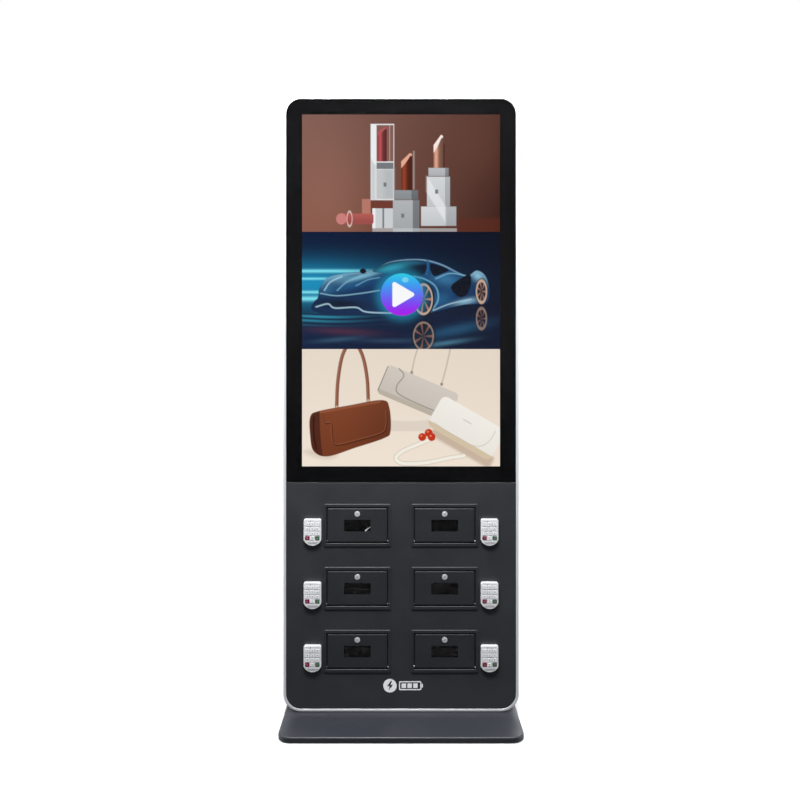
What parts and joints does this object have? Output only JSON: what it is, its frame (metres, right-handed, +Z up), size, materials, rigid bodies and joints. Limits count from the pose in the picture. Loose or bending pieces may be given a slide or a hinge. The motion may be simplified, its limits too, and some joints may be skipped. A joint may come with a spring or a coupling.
{
  "type": "phone charging kiosk",
  "caption": "Floor-standing phone charging kiosk: portrait display over columns of drop-door lockers, each with a window, cam lock and keypad lock, on a weighted rectangular base.",
  "frame": {"origin": "on the floor, under the middle of the base", "axes": "+Z up, +Y towards the back, +X to the right of a person facing the display"},
  "size_m": [0.63, 0.466, 1.66],
  "materials": {
    "charcoal_paint": "fine-texture powder coat, satin",
    "silver_trim": "satin anodised",
    "zinc_steel": "zinc-plated sheet",
    "ballast_paint": "matt black primer",
    "foot_rubber": "matt",
    "bright_steel": "plated",
    "front_glass": "polished, toughened",
    "display_cell": "gloss",
    "smoked_acrylic": "gloss, dark tint",
    "keypad_silver": "satin silver",
    "key_white": "satin, moulded",
    "lock_chrome": "polished",
    "case_grey": "matt",
    "black_plastic": "matt"
  },
  "bodies": {
    "kiosk": {"base_cover": "charcoal_paint", "base_ballast": "ballast_paint", "base_feet": "foot_rubber", "perimeter_frame": "silver_trim", "rear_housing": "charcoal_paint", "chassis_frame": "zinc_steel", "fixing_screws": "bright_steel", "cover_glass": "front_glass", "lcd_panel": "display_cell", "lcd_housing": "zinc_steel", "lower_front_panel": "charcoal_paint", "media_player": "case_grey", "power_supply": "case_grey", "speakers": "black_plastic", "fan_housing": "black_plastic", "power_inlet": "black_plastic", "charging_hub": "black_plastic", "locker_bank_left": "charcoal_paint", "locker_bank_right": "charcoal_paint", "door_hinge_rods": "bright_steel", "keypad_1": "keypad_silver", "keypad_2": "keypad_silver", "keypad_3": "keypad_silver", "keypad_4": "keypad_silver", "keypad_5": "keypad_silver", "keypad_6": "keypad_silver"},
    "locker_door_1": {"door_1": "charcoal_paint", "door_window_1": "smoked_acrylic"},
    "door_cam_1": {"cam_lock_1": "lock_chrome"},
    "key_mat_1": {"keypad_keys_1": "key_white"},
    "bolt_1": {"lock_bolt_1": "bright_steel"},
    "locker_door_2": {"door_2": "charcoal_paint", "door_window_2": "smoked_acrylic"},
    "door_cam_2": {"cam_lock_2": "lock_chrome"},
    "key_mat_2": {"keypad_keys_2": "key_white"},
    "bolt_2": {"lock_bolt_2": "bright_steel"},
    "locker_door_3": {"door_3": "charcoal_paint", "door_window_3": "smoked_acrylic"},
    "door_cam_3": {"cam_lock_3": "lock_chrome"},
    "key_mat_3": {"keypad_keys_3": "key_white"},
    "bolt_3": {"lock_bolt_3": "bright_steel"},
    "locker_door_4": {"door_4": "charcoal_paint", "door_window_4": "smoked_acrylic"},
    "door_cam_4": {"cam_lock_4": "lock_chrome"},
    "key_mat_4": {"keypad_keys_4": "key_white"},
    "bolt_4": {"lock_bolt_4": "bright_steel"},
    "locker_door_5": {"door_5": "charcoal_paint", "door_window_5": "smoked_acrylic"},
    "door_cam_5": {"cam_lock_5": "lock_chrome"},
    "key_mat_5": {"keypad_keys_5": "key_white"},
    "bolt_5": {"lock_bolt_5": "bright_steel"},
    "locker_door_6": {"door_6": "charcoal_paint", "door_window_6": "smoked_acrylic"},
    "door_cam_6": {"cam_lock_6": "lock_chrome"},
    "key_mat_6": {"keypad_keys_6": "key_white"},
    "bolt_6": {"lock_bolt_6": "bright_steel"},
    "service_door": {"rear_door": "charcoal_paint"},
    "service_cam": {"rear_door_lock": "lock_chrome"},
    "fan": {"fan_rotor": "black_plastic"},
    "mains_rocker": {"power_rocker": "black_plastic"}
  },
  "joints": [
    {"name": "door_1_hinge", "type": "hinge", "parent": "kiosk", "child": "locker_door_1", "pos_m": [-0.1165, -0.093, 0.472], "axis": [1, 0, 0], "range_deg": [0, 90]},
    {"name": "cam_1_turn", "type": "hinge", "parent": "locker_door_1", "child": "door_cam_1", "pos_m": [-0.1165, -0.088, 0.5448], "axis": [0, -1, 0], "range_deg": [0, 90]},
    {"name": "keys_1_press", "type": "slide", "parent": "kiosk", "child": "key_mat_1", "axis": [0, 1, 0], "range_m": [0, 0.001], "stiffness_N_per_m": 300, "springref_m": -0.002},
    {"name": "bolt_1_throw", "type": "slide", "parent": "kiosk", "child": "bolt_1", "axis": [1, 0, 0], "range_m": [0, 0.01]},
    {"name": "door_2_hinge", "type": "hinge", "parent": "kiosk", "child": "locker_door_2", "pos_m": [0.1165, -0.093, 0.472], "axis": [1, 0, 0], "range_deg": [0, 90]},
    {"name": "cam_2_turn", "type": "hinge", "parent": "locker_door_2", "child": "door_cam_2", "pos_m": [0.1165, -0.088, 0.5448], "axis": [0, -1, 0], "range_deg": [0, 90]},
    {"name": "keys_2_press", "type": "slide", "parent": "kiosk", "child": "key_mat_2", "axis": [0, 1, 0], "range_m": [0, 0.001], "stiffness_N_per_m": 300, "springref_m": -0.002},
    {"name": "bolt_2_throw", "type": "slide", "parent": "kiosk", "child": "bolt_2", "axis": [-1, 0, 0], "range_m": [0, 0.01]},
    {"name": "door_3_hinge", "type": "hinge", "parent": "kiosk", "child": "locker_door_3", "pos_m": [-0.1165, -0.093, 0.304], "axis": [1, 0, 0], "range_deg": [0, 90]},
    {"name": "cam_3_turn", "type": "hinge", "parent": "locker_door_3", "child": "door_cam_3", "pos_m": [-0.1165, -0.088, 0.3768], "axis": [0, -1, 0], "range_deg": [0, 90]},
    {"name": "keys_3_press", "type": "slide", "parent": "kiosk", "child": "key_mat_3", "axis": [0, 1, 0], "range_m": [0, 0.001], "stiffness_N_per_m": 300, "springref_m": -0.002},
    {"name": "bolt_3_throw", "type": "slide", "parent": "kiosk", "child": "bolt_3", "axis": [1, 0, 0], "range_m": [0, 0.01]},
    {"name": "door_4_hinge", "type": "hinge", "parent": "kiosk", "child": "locker_door_4", "pos_m": [0.1165, -0.093, 0.304], "axis": [1, 0, 0], "range_deg": [0, 90]},
    {"name": "cam_4_turn", "type": "hinge", "parent": "locker_door_4", "child": "door_cam_4", "pos_m": [0.1165, -0.088, 0.3768], "axis": [0, -1, 0], "range_deg": [0, 90]},
    {"name": "keys_4_press", "type": "slide", "parent": "kiosk", "child": "key_mat_4", "axis": [0, 1, 0], "range_m": [0, 0.001], "stiffness_N_per_m": 300, "springref_m": -0.002},
    {"name": "bolt_4_throw", "type": "slide", "parent": "kiosk", "child": "bolt_4", "axis": [-1, 0, 0], "range_m": [0, 0.01]},
    {"name": "door_5_hinge", "type": "hinge", "parent": "kiosk", "child": "locker_door_5", "pos_m": [-0.1165, -0.093, 0.136], "axis": [1, 0, 0], "range_deg": [0, 90]},
    {"name": "cam_5_turn", "type": "hinge", "parent": "locker_door_5", "child": "door_cam_5", "pos_m": [-0.1165, -0.088, 0.2088], "axis": [0, -1, 0], "range_deg": [0, 90]},
    {"name": "keys_5_press", "type": "slide", "parent": "kiosk", "child": "key_mat_5", "axis": [0, 1, 0], "range_m": [0, 0.001], "stiffness_N_per_m": 300, "springref_m": -0.002},
    {"name": "bolt_5_throw", "type": "slide", "parent": "kiosk", "child": "bolt_5", "axis": [1, 0, 0], "range_m": [0, 0.01]},
    {"name": "door_6_hinge", "type": "hinge", "parent": "kiosk", "child": "locker_door_6", "pos_m": [0.1165, -0.093, 0.136], "axis": [1, 0, 0], "range_deg": [0, 90]},
    {"name": "cam_6_turn", "type": "hinge", "parent": "locker_door_6", "child": "door_cam_6", "pos_m": [0.1165, -0.088, 0.2088], "axis": [0, -1, 0], "range_deg": [0, 90]},
    {"name": "keys_6_press", "type": "slide", "parent": "kiosk", "child": "key_mat_6", "axis": [0, 1, 0], "range_m": [0, 0.001], "stiffness_N_per_m": 300, "springref_m": -0.002},
    {"name": "bolt_6_throw", "type": "slide", "parent": "kiosk", "child": "bolt_6", "axis": [-1, 0, 0], "range_m": [0, 0.01]},
    {"name": "service_door_hinge", "type": "hinge", "parent": "kiosk", "child": "service_door", "pos_m": [-0.227, 0.099, 0.33], "axis": [0, 0, 1], "range_deg": [0, 110]},
    {"name": "service_cam_turn", "type": "hinge", "parent": "service_door", "child": "service_cam", "pos_m": [0.204, 0.085, 0.33], "axis": [0, -1, 0], "range_deg": [0, 90]},
    {"name": "fan_spin", "type": "hinge", "parent": "kiosk", "child": "fan", "pos_m": [0, 0.08, 1.48], "axis": [0, 1, 0], "continuous": true},
    {"name": "rocker_tip", "type": "hinge", "parent": "kiosk", "child": "mains_rocker", "pos_m": [0.266, 0.092, 0.149], "axis": [-1, 0, 0], "range_deg": [0, 16]}
  ]
}
